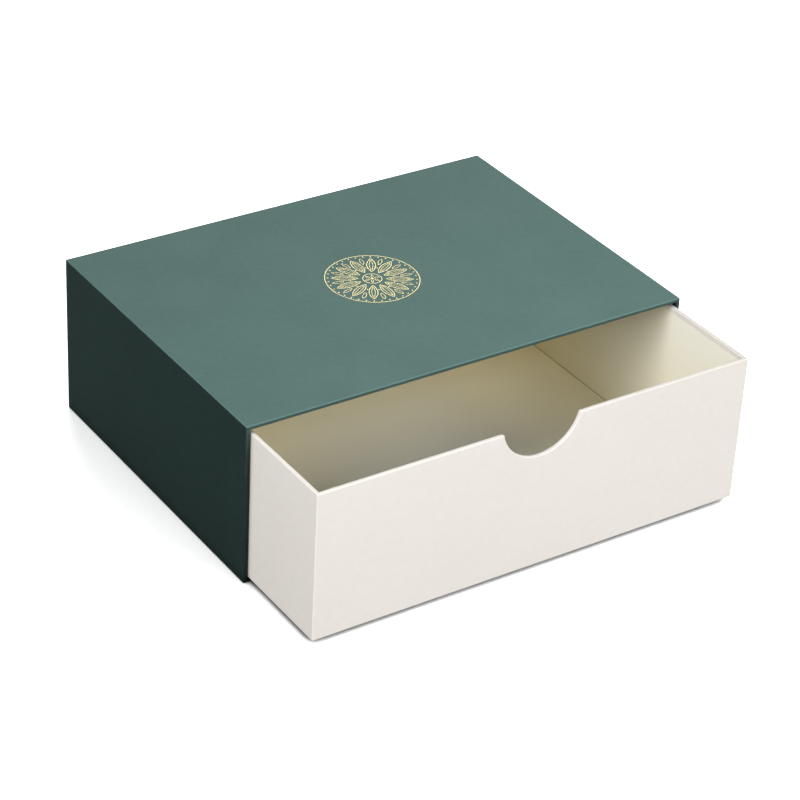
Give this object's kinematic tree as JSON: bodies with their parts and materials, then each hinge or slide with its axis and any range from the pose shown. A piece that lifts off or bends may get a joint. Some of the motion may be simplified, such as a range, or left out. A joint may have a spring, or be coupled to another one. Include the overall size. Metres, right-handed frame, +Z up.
{
  "type": "sliding drawer gift box",
  "caption": "Low rectangular paperboard gift box: a cream tray with a thumb notch slides out of a green wrapped sleeve with a gold foil rosette on its top.",
  "frame": {"origin": "centre of the sleeve's underside, the face the box rests on", "axes": "+X to the right as one faces the mouth, +Y from the mouth to the closed back, +Z up"},
  "size_m": [0.23, 0.218, 0.08],
  "materials": {
    "green_wrap_paper": "uncoated felt-marked cover paper, matt with a soft sheen",
    "green_liner_paper": "smooth matt lining paper",
    "cream_wrap_paper": "uncoated cover paper, matt",
    "greyboard": "bare grey chipboard, matt",
    "stay_tape": "kraft stay tape, matt",
    "gold_foil": "hot-stamped pale gold foil, satin"
  },
  "bodies": {
    "sleeve": {"sleeve_top_board": "greyboard", "sleeve_bottom_board": "greyboard", "sleeve_left_board": "greyboard", "sleeve_right_board": "greyboard", "sleeve_back_board": "greyboard", "sleeve_top_left_tape": "stay_tape", "sleeve_top_right_tape": "stay_tape", "sleeve_bottom_left_tape": "stay_tape", "sleeve_bottom_right_tape": "stay_tape", "sleeve_wrap": "green_wrap_paper", "sleeve_back_sheet": "green_wrap_paper", "sleeve_base_sheet": "green_wrap_paper", "sleeve_liner": "green_liner_paper", "sleeve_back_liner": "green_liner_paper", "foil_rosette": "gold_foil"},
    "tray": {"tray_front_board": "greyboard", "tray_back_board": "greyboard", "tray_left_board": "greyboard", "tray_right_board": "greyboard", "tray_base_board": "greyboard", "tray_front_left_tape": "stay_tape", "tray_front_right_tape": "stay_tape", "tray_back_left_tape": "stay_tape", "tray_back_right_tape": "stay_tape", "tray_wrap": "cream_wrap_paper", "tray_base_sheet": "cream_wrap_paper", "tray_wall_liner": "cream_wrap_paper", "tray_floor_liner": "cream_wrap_paper"}
  },
  "joints": [
    {"name": "tray_slide", "type": "slide", "parent": "sleeve", "child": "tray", "axis": [0, -1, 0], "range_m": [-0.053, 0.115]}
  ]
}
